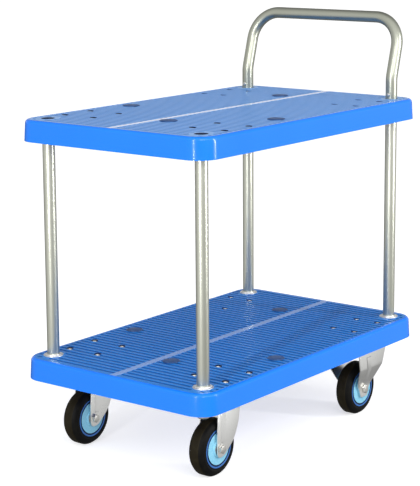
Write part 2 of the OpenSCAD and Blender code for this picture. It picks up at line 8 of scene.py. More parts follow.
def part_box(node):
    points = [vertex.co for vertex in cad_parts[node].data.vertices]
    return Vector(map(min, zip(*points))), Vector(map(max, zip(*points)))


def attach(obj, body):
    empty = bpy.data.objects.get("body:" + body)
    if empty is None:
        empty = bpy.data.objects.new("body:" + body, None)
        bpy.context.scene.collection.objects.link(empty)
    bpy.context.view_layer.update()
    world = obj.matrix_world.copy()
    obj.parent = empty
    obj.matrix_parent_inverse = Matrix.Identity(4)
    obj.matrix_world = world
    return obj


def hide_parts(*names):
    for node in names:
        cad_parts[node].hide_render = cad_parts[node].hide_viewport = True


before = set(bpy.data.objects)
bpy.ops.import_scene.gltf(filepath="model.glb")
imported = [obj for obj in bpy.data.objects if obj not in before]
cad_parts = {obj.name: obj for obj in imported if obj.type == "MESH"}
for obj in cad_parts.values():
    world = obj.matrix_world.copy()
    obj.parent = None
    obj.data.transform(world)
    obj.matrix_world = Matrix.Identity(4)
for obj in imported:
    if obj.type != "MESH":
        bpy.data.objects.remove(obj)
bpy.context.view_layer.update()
print("frame loaded,", len(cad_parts), "nodes")

mm = 0.001
sides = {"left": 1, "right": -1}
ends = ("front", "rear")


def middle(node):
    low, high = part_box(node)
    return (low + high) / 2


# shader maths: a Signal is a node's output and can be used like a number

class Signal:
    def __init__(self, finish, socket):
        self.finish = finish
        self.socket = socket

    def math(self, operation, *values):
        return self.finish.node("ShaderNodeMath", {"operation": operation}, dict(enumerate(values)))

    def __add__(self, other):
        return self.math("ADD", self, other)

    __radd__ = __add__

    def __sub__(self, other):
        return self.math("SUBTRACT", self, other)

    def __rsub__(self, other):
        return self.math("SUBTRACT", other, self)

    def __mul__(self, other):
        return self.math("MULTIPLY", self, other)

    __rmul__ = __mul__

    def __truediv__(self, other):
        return self.math("DIVIDE", self, other)

    def __pow__(self, power):
        return self.math("POWER", self, power)

    def __abs__(self):
        return self.math("ABSOLUTE", self)

    def __gt__(self, other):
        return self.math("GREATER_THAN", self, other)

    def __lt__(self, other):
        return self.math("LESS_THAN", self, other)

    def atLeast(self, other):
        return self.math("MAXIMUM", self, other)

    def smooth(self, start, end):  # 0 before start, 1 after end
        return self.finish.node("ShaderNodeMapRange", {"interpolation_type": "SMOOTHSTEP"},
                                {"Value": self, "From Min": start, "From Max": end})


class Graph:
    def __init__(self, owner):
        owner.use_nodes = True
        self.tree = owner.node_tree

    def node(self, kind, settings=None, values=None, output=0):
        made = self.tree.nodes.new(kind)
        for key, value in (settings or {}).items():
            if key == "stops":
                while len(made.color_ramp.elements) < len(value):
                    made.color_ramp.elements.new(0.5)
                for element, (position, colour) in zip(made.color_ramp.elements, value):
                    element.position, element.color = position, colour
            else:
                setattr(made, key, value)
        for key, value in (values or {}).items():
            self.plug(made.inputs[key], value)
        return Signal(self, made.outputs[output])

    def plug(self, socket, value):
        if isinstance(value, Signal):
            self.tree.links.new(value.socket, socket)
        else:
            socket.default_value = value

    def blend(self, amount, first, second):
        return self.node("ShaderNodeMix", {"data_type": "RGBA"}, {0: amount, 6: first, 7: second}, output=2)

    def ramp(self, value, stops):
        return self.node("ShaderNodeValToRGB", {"stops": [(at, (v, v, v, 1)) for at, v in stops]}, {"Fac": value})


class Finish(Graph):
    def __init__(self, name, **constants):
        self.material = bpy.data.materials.new(name)
        super().__init__(self.material)
        self.shader = self.tree.nodes["Principled BSDF"]
        self.place = self.node("ShaderNodeTexCoord", output="Object")
        for socket, value in constants.items():
            self.plug(self.shader.inputs[socket], value)

    def paint(self, **values):
        for socket, value in values.items():
            self.plug(self.shader.inputs[socket.replace("_", " ")], value)

    def noise(self, scale, detail=3, stretch=(1, 1, 1)):
        place = self.node("ShaderNodeMapping", {"vector_type": "POINT"}, {"Vector": self.place, "Scale": stretch})
        return self.node("ShaderNodeTexNoise", {}, {"Vector": place, "Scale": scale, "Detail": detail})

    def axis(self, letter):
        return self.node("ShaderNodeSeparateXYZ", {}, {"Vector": self.place}, output=letter)

    def bump(self, height, distance, strength=1.0, below=None):
        values = {"Height": height, "Distance": distance, "Strength": strength}
        if below is not None:
            values["Normal"] = below
        return self.node("ShaderNodeBump", {}, values)


deckFinish = {
    # grooveShade is a darker blue painted into the trough bottoms as painted shade
    "skirt": (0.004, 0.190, 0.900, 1), "skirtPale": (0.008, 0.232, 0.960, 1), "grooveShade": (0.003, 0.070, 0.330, 1),
    # strip is a pale painted reflection on the smooth centre strip, fully on the upper deck and faintly on the lower
    "strip": (0.700, 0.760, 0.960, 1),
    "cornerX": 346 * mm, "cornerY": 196 * mm, "cornerRadius": 44 * mm, "border": 11 * mm, "ribHeight": 1.2 * mm,
}
# rib colours per deck: the upper deck's ribs are painted paler than the lower deck's, painted sheen
deckToneAndSheen = {
    "lower_deck": {"rib": (0.008, 0.200, 0.640, 1), "ribMottle": (0.040, 0.280, 0.700, 1), "stripHalf": 8 * mm, "stripSheen": 0.30},
    "upper_deck": {"rib": (0.150, 0.365, 0.760, 1), "ribMottle": (0.230, 0.450, 0.840, 1), "stripHalf": 6 * mm, "stripSheen": 1.0},
}


def deckPlastic(name, deck):
    d, toneAndSheen, top = deckFinish, deckToneAndSheen[deck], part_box(deck)[1].z
    f = Finish(name, **{"IOR": 1.33, "Coat Roughness": 0.07, "Coat IOR": 1.5})
    x, y, z = abs(f.axis("X")), abs(f.axis("Y")), f.axis("Z")
    overX, overY = (x - d["cornerX"]).atLeast(0), (y - d["cornerY"]).atLeast(0)
    inset = d["cornerRadius"] - (overX * overX + overY * overY) ** 0.5  # how far in from the outline
    field = inset.smooth(d["border"] - 1 * mm, d["border"]) * (z > top - 2.5 * mm)
    # depth rises to 1 down in the troughs, blending in the painted shade colour
    depth = 1 - (z - (top - d["ribHeight"])).smooth(0.1 * mm, 0.9 * d["ribHeight"])
    # the strip mask takes the pale painted reflection colour
    strip = (y < toneAndSheen["stripHalf"]) * field
    cloud = f.noise(9, 3)
    speck = f.noise(700, 2)
    mottle = f.noise(55, 4)
    skirt = f.blend(cloud * 0.5, d["skirt"], d["skirtPale"])
    # two rib tones mottled at random; on the upper deck both tones are paler, painted sheen
    ribs = f.blend((mottle - 0.35) * 0.8, toneAndSheen["rib"], toneAndSheen["ribMottle"])
    ribbed = f.blend(depth * 0.9, ribs, d["grooveShade"])
    colour = f.blend(field, skirt, f.blend(strip * toneAndSheen["stripSheen"], ribbed, d["strip"]))
    scuff = f.noise(120, 5, (1, 0.08, 1)).smooth(0.55, 0.8)
    rough = 0.20 + cloud * 0.06 + field * (0.06 + mottle * 0.10) + scuff * field * 0.12 - strip * 0.12
    pebble = f.bump(speck, 0.05 * mm, 0.35)
    wave = f.bump(f.noise(38, 2), 0.25 * mm, 0.25, pebble)
    f.paint(Base_Color=colour, Roughness=rough, Coat_Weight=0.30 - field * 0.25, Normal=wave)
    return f.material


def capPlastic():
    f = Finish("capPlastic", **{"IOR": 1.48})
    dust = f.noise(160, 4)
    f.paint(Base_Color=f.blend(dust.smooth(0.45, 0.75) * 0.5, (0.012, 0.060, 0.200, 1), (0.060, 0.150, 0.360, 1)),
            Roughness=0.32 + dust * 0.25, Normal=f.bump(f.noise(900, 2), 0.04 * mm, 0.4))
    return f.material


def tubeSteel(name, light, dark, drawn):
    # drawn stretches the grain along Z on the straight posts
    f = Finish(name, **{"Metallic": 1.0})
    grain = f.noise(300, 3, drawn)
    haze = f.noise(6, 2)
    f.paint(Base_Color=f.blend(haze, dark, light),
            Roughness=0.30 + grain * 0.06 + haze * 0.05, Normal=f.bump(grain, 0.004 * mm, 0.2))
    return f.material


def zincPlate(name, bright, dull, rough):
    f = Finish(name, **{"Metallic": 1.0})
    cloud = f.noise(45, 4)
    crystal = f.node("ShaderNodeTexVoronoi", {}, {"Vector": f.place, "Scale": 520}, output="Distance")
    stain = f.noise(110, 5).smooth(0.58, 0.78)
    f.paint(Base_Color=f.blend(cloud * 0.7 + stain * 0.3, bright, dull),
            Roughness=rough + cloud * 0.12 + crystal * 0.10 + stain * 0.10,
            Normal=f.bump(crystal, 0.02 * mm, 0.3))
    return f.material


def tyreRubber(name, clean, dusty):
    f = Finish(name, **{"IOR": 1.22})
    grain = f.noise(850, 3)
    dust = f.noise(60, 5)
    f.paint(Base_Color=f.blend(dust.smooth(0.40, 0.80) * 0.6, clean, dusty),
            Roughness=0.42 + dust * 0.22 + grain * 0.10, Normal=f.bump(grain, 0.06 * mm, 0.5))
    return f.material


def hubPlastic(name, colour, pale):
    f = Finish(name, **{"IOR": 1.5})
    speckle = f.noise(420, 3).smooth(0.42, 0.68)
    cloud = f.noise(50, 3)
    f.paint(Base_Color=f.blend(speckle * 0.6 + cloud * 0.3, colour, pale),
            Roughness=0.34 + cloud * 0.16, Normal=f.bump(f.noise(600, 3), 0.06 * mm, 0.5))
    return f.material


finishes = {
    "lowerDeck": deckPlastic("lowerDeckPlastic", "lower_deck"),
    "upperDeck": deckPlastic("upperDeckPlastic", "upper_deck"),
    "cap": capPlastic(),
    "tube": tubeSteel("tubeSteel", (0.650, 0.662, 0.575, 1), (0.575, 0.590, 0.505, 1), (1, 1, 0.02)),
    # the bent handle tube is a darker copy of the post steel, painted shade
    "bentTube": tubeSteel("shadedBentTubeSteel", (0.490, 0.505, 0.430, 1), (0.410, 0.425, 0.355, 1), (1, 1, 1)),
    "collar": zincPlate("collarPlate", (0.95, 0.95, 0.94, 1), (0.86, 0.86, 0.85, 1), 0.30),
    "bolt": zincPlate("boltZinc", (1.0, 0.97, 0.88, 1), (0.95, 0.91, 0.80, 1), 0.55),
    "zinc": zincPlate("hardwareZinc", (0.74, 0.73, 0.69, 1), (0.58, 0.57, 0.53, 1), 0.26),
    "fork": zincPlate("forkZinc", (1.0, 1.0, 0.98, 1), (0.88, 0.88, 0.85, 1), 0.20),
    "bearing": zincPlate("bearingSteel", (0.62, 0.62, 0.62, 1), (0.50, 0.50, 0.50, 1), 0.20),
    # near-black painted shade for the walls inside the deck's sockets and wells
    "holeShade": hubPlastic("holeShade", (0.001, 0.008, 0.040, 1), (0.002, 0.016, 0.070, 1)),
    "tyre": tyreRubber("tyreRubber", (0.003, 0.003, 0.003, 1), (0.010, 0.009, 0.006, 1)),
    "tread": tyreRubber("tyreTread", (0.013, 0.010, 0.004, 1), (0.028, 0.023, 0.011, 1)),
    "hubDisc": hubPlastic("hubDisc", (0.190, 0.540, 0.760, 1), (0.330, 0.680, 0.860, 1)),
    # dark navy painted shade for the groove between the hub's disc and lip
    "hubGrooveShade": hubPlastic("hubGrooveShade", (0.006, 0.022, 0.085, 1), (0.012, 0.040, 0.130, 1)),
    "hubLip": hubPlastic("hubLip", (0.020, 0.120, 0.420, 1), (0.040, 0.180, 0.520, 1)),
}
print("finishes made,", len(finishes))


# mesh helpers

def wire(bm, corners, closed=True):
    # corners are (x, z, reach): reach is how far the rounding runs along the two sides
    verts = [bm.verts.new((x, 0, z)) for x, z, reach in corners]
    for a, b in zip(verts, verts[1:] + verts[:1] * closed):
        bm.edges.new((a, b))
    for vert, (x, z, reach) in zip(verts, corners):
        if reach:
            bmesh.ops.bevel(bm, geom=[vert], offset=reach, offset_type="OFFSET", affect="VERTICES",
                            segments=4, profile=0.5, material=-1, clamp_overlap=False)


def patch(faces):
    # the faces with their edges and corners, as extrude and spin need them
    return list({g for face in faces for g in (face, *face.edges, *face.verts)})


def extruded(bm, faces, vec=(0, 0, 0)):
    made = bmesh.ops.extrude_face_region(bm, geom=patch(faces))["geom"]
    bmesh.ops.translate(bm, verts=[g for g in made if isinstance(g, bmesh.types.BMVert)], vec=vec)
    return [g for g in made if isinstance(g, bmesh.types.BMFace)]


def turned(corners, closed=True, steps=64):
    bm = bmesh.new()
    wire(bm, corners, closed)
    bmesh.ops.spin(bm, geom=bm.verts[:] + bm.edges[:], cent=(0, 0, 0), axis=(0, 0, 1),
                   angle=math.tau, steps=steps, use_merge=True)
    bmesh.ops.remove_doubles(bm, verts=bm.verts, dist=1e-6)
    bmesh.ops.recalc_face_normals(bm, faces=bm.faces)
    return bm


def cut(corners, thickness, soften=0.0):
    # plate with its outline in the XZ plane, as thick as given along +Y
    bm = bmesh.new()
    wire(bm, corners)
    face = bmesh.ops.contextual_create(bm, geom=bm.edges[:])["faces"][0]
    extruded(bm, [face], (0, thickness, 0))
    bmesh.ops.recalc_face_normals(bm, faces=bm.faces)
    if soften:
        rim = [e for e in bm.edges if abs(e.verts[0].co.y - e.verts[1].co.y) < 1e-7]
        bmesh.ops.bevel(bm, geom=rim, offset=soften, offset_type="OFFSET", affect="EDGES",
                        segments=3, profile=0.5, material=-1, clamp_overlap=True)
    return bm


def hexagon(width, height, chamfer=0.7 * mm):
    bm = bmesh.new()
    bmesh.ops.create_circle(bm, cap_ends=True, segments=6, radius=width / 2 / math.cos(math.pi / 6))
    extruded(bm, bm.faces[:], (0, 0, height))
    bmesh.ops.recalc_face_normals(bm, faces=bm.faces)
    bmesh.ops.bevel(bm, geom=[e for e in bm.edges if abs(e.verts[0].co.z - e.verts[1].co.z) < 1e-7],
                    offset=chamfer, offset_type="OFFSET", affect="EDGES", segments=2, profile=0.5,
                    material=-1, clamp_overlap=True)
    return bm


def rod(radius, z0, z1, chamfer=0.5 * mm, steps=48):
    return turned([(0, z0, 0), (radius, z0, chamfer), (radius, z1, chamfer), (0, z1, 0)], closed=False, steps=steps)


def tube(outer, inner, z0, z1, chamfer=0.4 * mm, steps=64):
    return turned([(inner, z0, chamfer), (outer, z0, chamfer), (outer, z1, chamfer), (inner, z1, chamfer)], steps=steps)


def moved(bm, matrix):
    bmesh.ops.transform(bm, matrix=matrix, verts=bm.verts)
    if matrix.determinant() < 0:
        bmesh.ops.reverse_faces(bm, faces=bm.faces)
    return bm


def at(x, y, z):
    return Matrix.Translation((x, y, z))


def joined(*parts):
    whole = bmesh.new()
    for part in parts:
        loose = bpy.data.meshes.new("loose")
        part.to_mesh(loose)
        part.free()
        whole.from_mesh(loose)
        bpy.data.meshes.remove(loose)
    return whole


def copies(bm, matrices):
    parts = [bm.copy() for _ in matrices]
    bm.free()
    return joined(*[moved(part, matrix) for part, matrix in zip(parts, matrices)])


def combined(bm, other, operation):
    # exact boolean of two closed meshes
    pair = []
    for name, part in (("base", bm), ("tool", other)):
        mesh = bpy.data.meshes.new(name)
        part.to_mesh(mesh)
        part.free()
        thing = bpy.data.objects.new(name, mesh)
        bpy.context.scene.collection.objects.link(thing)
        pair.append(thing)
    base, tool = pair
    step = base.modifiers.new("combine", "BOOLEAN")
    step.operation, step.object, step.solver = operation, tool, "EXACT"
    result = bpy.data.meshes.new_from_object(base.evaluated_get(bpy.context.evaluated_depsgraph_get()))
    out = bmesh.new()
    out.from_mesh(result)
    for thing in pair:
        mesh = thing.data
        bpy.data.objects.remove(thing)
        bpy.data.meshes.remove(mesh)
    bpy.data.meshes.remove(result)
    return out


def piece(name, bm, finish, body, slot, *nodes, angle=32):
    mesh = bpy.data.meshes.new(name)
    bm.to_mesh(mesh)
    bm.free()
    for key in finish if isinstance(finish, (list, tuple)) else [finish]:
        mesh.materials.append(finishes[key])
    mesh.shade_smooth()
    mesh.set_sharp_from_angle(angle=math.radians(angle))
    obj = bpy.data.objects.new(name, mesh)
    bpy.context.scene.collection.objects.link(obj)
    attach(obj, body)
    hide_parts(*nodes)
    return obj


# decks

deck = {
    "length": 780 * mm, "width": 480 * mm, "height": 44 * mm, "corner": 44 * mm, "draft": 2 * mm,
    "edge": 7 * mm, "wall": 3.5 * mm, "top": 5 * mm, "ribPitch": 15.85 * mm, "ribWidth": 8.5 * mm,
    "ribHeight": 1.2 * mm, "lip": 0.45 * mm, "stripHalf": 8 * mm, "border": 13 * mm, "fieldCorner": 34 * mm,
    "webPitch": 78 * mm, "webWall": 3 * mm, "webShort": 2 * mm, "bossWall": 7 * mm, "padExtra": 3 * mm,
    "socketRadius": 13.1 * mm, "socketDepth": 18 * mm, "wellRadius": 7.5 * mm, "wellDepth": 6.5 * mm,
    "holeRadius": 4.2 * mm,
}
posts = [middle("post_%s_%s" % (end, side)) for end in ends for side in sides]
tubeRadius = (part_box("post_front_left")[1].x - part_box("post_front_left")[0].x) / 2
postX, postY = abs(posts[0].x), abs(posts[0].y)
swivelAt = middle("swivel_plate_left")
fixedAt = middle("tyre_rear_left")
caps = [(-88 * mm, 190 * mm), (-233 * mm, -30 * mm), (244 * mm, 36 * mm), (-90 * mm, -190 * mm)]
castorBolts = {
    "front": [(swivelAt.x + i * 38.5 * mm, s * swivelAt.y + j * 38.5 * mm) for s in (-1, 1) for i in (-1, 1) for j in (-1, 1)],
    "rear": [(fixedAt.x + i * 47.5 * mm, s * fixedAt.y + j * 27 * mm) for s in (-1, 1) for i in (-1, 1) for j in (-1, 1)],
}


def deckShell():
    d = deck
    bm = bmesh.new()
    bmesh.ops.create_grid(bm, x_segments=1, y_segments=1, size=0.5)
    bmesh.ops.scale(bm, verts=bm.verts, vec=(d["length"], d["width"], 1))
    bmesh.ops.translate(bm, verts=bm.verts, vec=(0, 0, -d["height"]))
    bmesh.ops.bevel(bm, geom=bm.verts[:], offset=d["corner"], offset_type="OFFSET", affect="VERTICES",
                    segments=16, profile=0.5, material=-1, clamp_overlap=False)
    lid = extruded(bm, bm.faces[:], (0, 0, d["height"]))[0]
    shrink = (1 - 2 * d["draft"] / d["length"], 1 - 2 * d["draft"] / d["width"], 1)
    bmesh.ops.scale(bm, verts=lid.verts, vec=shrink)
    bmesh.ops.recalc_face_normals(bm, faces=bm.faces)
    rim = [e for e in bm.edges if all(v.co.z > -1e-6 for v in e.verts)]
    bmesh.ops.bevel(bm, geom=rim, offset=d["edge"], offset_type="OFFSET", affect="EDGES",
                    segments=8, profile=0.5, material=-1, clamp_overlap=True)
    under = min(bm.faces, key=lambda face: face.calc_center_median().z - face.calc_area())
    bmesh.ops.inset_region(bm, faces=[under], thickness=d["wall"], use_even_offset=True)
    ceiling = extruded(bm, [under], (0, 0, d["height"] - d["top"]))[0]
    bmesh.ops.scale(bm, verts=ceiling.verts, vec=shrink)
    bmesh.ops.recalc_face_normals(bm, faces=bm.faces)
    return bm


def trough(x0, x1, y0, y1):
    # one groove between two ribs, with sloping lips and rounded lower edges
    d = deck
    bm = bmesh.new()
    bmesh.ops.create_cube(bm, size=1)
    depth = d["ribHeight"] - d["lip"]
    moved(bm, at((x0 + x1) / 2, (y0 + y1) / 2, -d["ribHeight"] + depth / 2)
          @ Matrix.Diagonal((x1 - x0, y1 - y0, depth, 1)))
    low = [e for e in bm.edges if all(v.co.z < -d["ribHeight"] + 1e-6 for v in e.verts)]
    bmesh.ops.bevel(bm, geom=low, offset=0.4 * mm, offset_type="OFFSET", affect="EDGES", segments=2,
                    profile=0.5, material=-1, clamp_overlap=True)
    lid = max(bm.faces, key=lambda face: face.calc_center_median().z)
    for rise, spread in ((d["lip"], d["lip"]), (1 * mm, 0)):
        lid = extruded(bm, [lid])[0]
        for v in lid.verts:
            v.co.x += math.copysign(spread, v.co.x - (x0 + x1) / 2)
            v.co.y += math.copysign(spread, v.co.y - (y0 + y1) / 2)
            v.co.z += rise
    bmesh.ops.recalc_face_normals(bm, faces=bm.faces)
    return bm


def fieldEnd(x):
    # where the ribbed field ends beside the line x
    d = deck
    flatX, flatY = d["length"] / 2 - d["border"] - d["fieldCorner"], d["width"] / 2 - d["border"] - d["fieldCorner"]
    over = max(abs(x) - flatX, 0)
    return flatY + math.sqrt(max(d["fieldCorner"] ** 2 - over ** 2, 0))


def troughs():
    d = deck
    pitch, rib = d["ribPitch"], d["ribWidth"]
    count = int((d["length"] - 2 * d["border"] + rib) / pitch)
    start = -(count * pitch - rib) / 2
    pad = tubeRadius + d["bossWall"] + d["padExtra"]
    parts = []
    for i in range(count - 1):
        x0 = start + rib + i * pitch
        x1 = x0 + pitch - rib
        end = min(fieldEnd(x0), fieldEnd(x1))
        gap = min(abs(abs((x0 + x1) / 2) - postX), pad + 1) - (x1 - x0) / 2
        runs = [(d["stripHalf"], end)]
        if gap < pad:  # the groove stops at the smooth ring round a post
            half = math.sqrt(max(pad ** 2 - max(gap, 0) ** 2, 0))
            runs = [(d["stripHalf"], postY - half), (postY + half, end)]
        for a, b in runs:
            if b - a > 3 * mm:
                parts += [trough(x0, x1, a, b), trough(x0, x1, -b, -a)]
    return joined(*parts)


def deckUnderside():
    # stiffening webs and bosses below the top plate
    d = deck
    floor = -d["height"] + d["webShort"]
    innerX, innerY = d["length"] / 2 - 2.6 * mm, d["width"] / 2 - 2.6 * mm
    parts = []
    for i in range(-4, 5):
        slab = bmesh.new()
        bmesh.ops.create_cube(slab, size=1)
        parts.append(moved(slab, at(i * d["webPitch"], 0, (floor - 4 * mm) / 2)
                           @ Matrix.Diagonal((d["webWall"], 2 * innerY, -floor - 4 * mm, 1))))
    across = []
    for j in range(-2, 3):
        slab = bmesh.new()
        bmesh.ops.create_cube(slab, size=1)
        across.append(moved(slab, at(0, j * d["webPitch"], (floor - 4 * mm) / 2)
                            @ Matrix.Diagonal((2 * innerX, d["webWall"], -floor - 4 * mm, 1))))
    bosses = [moved(rod(tubeRadius + d["bossWall"], -d["height"], -2 * mm, 0.8 * mm), at(p.x, p.y, 0)) for p in posts]
    wells = [moved(rod(d["wellRadius"] + 3 * mm, floor, -2 * mm, 0.6 * mm), at(x, y, 0))
             for end in ends for x, y in castorBolts[end]]
    return [joined(*parts), joined(*across), joined(*bosses), joined(*wells)]


def deckHoles():
    d = deck
    parts = []
    for p in posts:
        parts.append(moved(turned([(0, -d["height"] - 2 * mm, 0), (tubeRadius + 0.2 * mm, -d["height"] - 2 * mm, 0),
                                   (tubeRadius + 0.2 * mm, -d["socketDepth"], 0), (d["socketRadius"], -d["socketDepth"], 0),
                                   (d["socketRadius"], -0.8 * mm, 0), (d["socketRadius"] + 1.3 * mm, 0.5 * mm, 0),
                                   (0, 0.5 * mm, 0)], closed=False, steps=64), at(p.x, p.y, 0)))
    for end in ends:
        for x, y in castorBolts[end]:
            parts.append(moved(turned([(0, -d["height"], 0), (d["holeRadius"], -d["height"], 0),
                                       (d["holeRadius"], -d["wellDepth"], 0), (d["wellRadius"], -d["wellDepth"], 0),
                                       (d["wellRadius"], -0.7 * mm, 0), (d["wellRadius"] + 1.2 * mm, 0.5 * mm, 0),
                                       (0, 0.5 * mm, 0)], closed=False, steps=40), at(x, y, 0)))
    for x, y in caps:
        parts.append(moved(rod(15 * mm, -9 * mm, 2 * mm, 0, 40), at(x, y, 0)))
    return joined(*parts)


def buildDeck():
    bm = deckShell()
    for extra in deckUnderside():
        bm = combined(bm, extra, "UNION")
    bm = combined(bm, troughs(), "DIFFERENCE")
    bm = combined(bm, deckHoles(), "DIFFERENCE")
    bmesh.ops.remove_doubles(bm, verts=bm.verts, dist=2e-6)
    return bm


deckMesh = buildDeck()
print("deck built,", len(deckMesh.faces), "faces, open edges:", sum(not e.is_manifold for e in deckMesh.edges))
# faces inside the post sockets and bolt wells take the near-black painted shade
shadedPits = [(x, y, deck["wellRadius"]) for end in ends for x, y in castorBolts[end]] + [(p.x, p.y, deck["socketRadius"]) for p in posts]
for face in deckMesh.faces:
    c = face.calc_center_median()
    if -19 * mm < c.z < -0.1 * mm and any(math.hypot(c.x - x, c.y - y) < r + 0.9 * mm for x, y, r in shadedPits):
        face.material_index = 1
for name in ("lower", "upper"):
    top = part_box(name + "_deck")[1].z
    piece(name + "DeckMoulding", moved(deckMesh.copy(), at(0, 0, top)), [name + "Deck", "holeShade"], "cart", "deck_plastic", name + "_deck")
    cap = turned([(0, -7 * mm, 0), (14.8 * mm, -7 * mm, 0.5 * mm), (14.8 * mm, 0.05 * mm, 0), (18 * mm, 0.05 * mm, 0.3 * mm),
                  (18 * mm, 1.8 * mm, 1.2 * mm), (15.5 * mm, 1.8 * mm, 0.2 * mm), (15.2 * mm, 1.3 * mm, 0.2 * mm),
                  (14.4 * mm, 1.3 * mm, 0.2 * mm), (14.1 * mm, 1.8 * mm, 0.2 * mm), (0, 1.8 * mm, 0)], closed=False)
    piece(name + "DeckCaps", copies(cap, [at(x, y, top) for x, y in caps]), "cap", "cart", "cap_plastic", name + "_deck_caps")
deckMesh.free()
print("decks done")


# posts

post = {"wall": 1.5 * mm, "collarRadius": 20.5 * mm, "collarHeight": 4.5 * mm, "nutRadius": 12.5 * mm,
        "nutHeight": 14 * mm, "washerRadius": 17.7 * mm, "washerHeight": 2.5 * mm, "boltAbove": 12 * mm}
deckHeight = deck["height"]
lowerTop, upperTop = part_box("lower_deck")[1].z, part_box("upper_deck")[1].z
postFoot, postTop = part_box("post_front_left")[0].z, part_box("post_front_left")[1].z
postInner = tubeRadius - post["wall"]

for end in ends:
    for side in sides:
        node = "post_%s_%s" % (end, side)
        place = middle(node)
        piece("post" + end.title() + side.title(), moved(tube(tubeRadius, postInner, postFoot, postTop, 0.35 * mm, 96),
              at(place.x, place.y, 0)), "tube", "cart", "tube_steel", node)

collar = [(tubeRadius + 0.05 * mm, 0, 0.3 * mm), (post["collarRadius"], 0, 0.5 * mm), (post["collarRadius"], 2.2 * mm, 0.9 * mm),
          (tubeRadius + 4.0 * mm, 2.5 * mm, 0.6 * mm), (tubeRadius + 3.2 * mm, post["collarHeight"], 1.0 * mm),
          (tubeRadius + 0.05 * mm, post["collarHeight"], 0.3 * mm)]
piece("lowerPostCollars", copies(turned(collar), [at(p.x, p.y, lowerTop) for p in posts]),
      "collar", "cart", "collar_chrome", "lower_post_collars")
flip = Matrix.Diagonal((1, 1, -1, 1))
piece("upperPostCollars", copies(turned(collar), [at(p.x, p.y, upperTop - deckHeight) @ flip for p in posts]),
      "collar", "cart", "collar_chrome", "upper_post_collars")
piece("postFootWashers", copies(tube(post["washerRadius"], postInner - 0.5 * mm, -post["washerHeight"], 0),
      [at(p.x, p.y, postFoot) for p in posts]), "zinc", "cart", "hardware_zinc", "post_foot_washers")
bottom = -post["washerHeight"] - post["nutHeight"]
stem = postInner - 0.7 * mm
footNut = turned([(0, bottom, 0), (post["nutRadius"], bottom, 3.5 * mm), (post["nutRadius"], bottom + 8 * mm, 0.5 * mm),
                  (post["nutRadius"] - 0.6 * mm, bottom + 8.8 * mm, 0.3 * mm), (post["nutRadius"], bottom + 9.6 * mm, 0.5 * mm),
                  (post["nutRadius"], -post["washerHeight"], 0.4 * mm), (stem, -post["washerHeight"], 0),
                  (stem, 21.5 * mm, 1.2 * mm), (0, 21.5 * mm, 0)], closed=False)
piece("postFootNuts", copies(footNut, [at(p.x, p.y, postFoot) for p in posts]),
      "zinc", "cart", "hardware_zinc", "post_foot_nuts")

crossParts = []
for p in posts:
    turn = Matrix.Rotation(math.copysign(math.pi / 2, p.y), 4, "X")
    place = at(p.x, p.y, upperTop - deckHeight + post["boltAbove"]) @ turn
    head = tubeRadius + deck["bossWall"]
    crossParts += [moved(rod(3 * mm, 7 * mm, head + 1 * mm, 0.4 * mm, 32), place),
                   moved(hexagon(10 * mm, 4 * mm, 0.5 * mm), place @ at(0, 0, head))]
piece("postCrossBolts", joined(*crossParts), "zinc", "cart", "hardware_zinc", "post_cross_bolts")
print("posts done")


# handle

handle = {"straight": 38 * mm, "lean": math.radians(16), "leanBend": 60 * mm, "gripBend": 63 * mm, "wall": 1.5 * mm,
          "barHeight": 174.5 * mm, "buttonHeight": 9.5 * mm, "buttonRadius": 4 * mm, "sides": 48}


def handleTube():
    h = handle
    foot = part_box("handle")[0].z
    lean, lowTurn = h["lean"], upperTop + h["straight"]
    bm = bmesh.new()
    rings = []
    for radius in (tubeRadius, tubeRadius - h["wall"]):
        rings.append(bmesh.ops.create_circle(bm, segments=h["sides"], radius=radius,
                                             matrix=at(postX, postY, foot))["verts"])
    bmesh.ops.bridge_loops(bm, edges=bm.edges[:])
    tip = bm.faces[:]

    def sweep(tip, centre, axis, angle, steps):
        made = bmesh.ops.spin(bm, geom=patch(tip), cent=centre, axis=axis, angle=angle, steps=steps)["geom_last"]
        return [g for g in made if isinstance(g, bmesh.types.BMFace)]

    along = Vector((math.sin(lean), 0, math.cos(lean)))
    rise = (h["barHeight"] - h["straight"] - h["leanBend"] * math.sin(lean)) / math.cos(lean) - h["gripBend"]
    tip = extruded(bm, tip, (0, 0, lowTurn - foot))
    tip = sweep(tip, (postX + h["leanBend"], postY, lowTurn), (0, 1, 0), lean, 6)
    tip = extruded(bm, tip, along * rise)
    corner = Vector((postX + h["leanBend"] * (1 - math.cos(lean)), postY, lowTurn + h["leanBend"] * math.sin(lean)))
    corner += along * rise
    across = Vector((0, 1, 0)).cross(along)
    tip = sweep(tip, corner - Vector((0, h["gripBend"], 0)), -across, -math.pi / 2, 16)
    tip = extruded(bm, tip, (0, -(postY - h["gripBend"]), 0))
    bmesh.ops.delete(bm, geom=tip, context="FACES")
    other = bm.copy()
    whole = joined(bm, moved(other, Matrix.Diagonal((1, -1, 1, 1))))
    bmesh.ops.remove_doubles(whole, verts=whole.verts, dist=5e-6)
    bmesh.ops.recalc_face_normals(whole, faces=whole.faces)
    holes = [moved(rod(h["buttonRadius"] + 0.2 * mm, 0, tubeRadius + 3 * mm, 0, 32),
                   at(postX, s * postY, upperTop + h["buttonHeight"]) @ Matrix.Rotation(-math.pi / 2, 4, "Y")) for s in (-1, 1)]
    return combined(whole, joined(*holes), "DIFFERENCE")


handleMesh = handleTube()
print("handle open edges:", sum(not e.is_manifold for e in handleMesh.edges))
piece("handleTube", handleMesh, "bentTube", "handle", "tube_steel", "handle")

